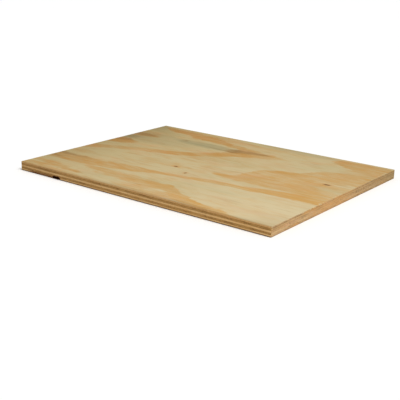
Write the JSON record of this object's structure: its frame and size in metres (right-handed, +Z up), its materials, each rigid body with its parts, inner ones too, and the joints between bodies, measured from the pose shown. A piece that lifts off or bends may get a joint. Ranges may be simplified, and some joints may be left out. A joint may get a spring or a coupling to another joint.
{
  "type": "plywood sheet",
  "caption": "Flat rectangular plywood sheet with crossed veneers showing on its sawn edges and a figured softwood face, lying flat.",
  "frame": {"origin": "centre of the underside of the sheet", "axes": "+X along the sheet's length, which is the grain of the face veneer, +Y across its width, +Z up through the face"},
  "size_m": [0.6, 0.45, 0.018],
  "materials": {
    "face_veneer": "bare sanded softwood face, pale with orange summerwood figure",
    "upper_crossband": "bare sawn edge, darker end grain on the long sides",
    "core_veneer": "bare sawn edge, light long grain on the long sides",
    "lower_crossband": "bare sawn edge, darker end grain on the long sides",
    "back_veneer": "bare unsanded softwood back"
  },
  "bodies": {
    "root": {"face_veneer": "face_veneer", "upper_crossband": "upper_crossband", "core_veneer": "core_veneer", "lower_crossband": "lower_crossband", "back_veneer": "back_veneer"}
  },
  "joints": []
}
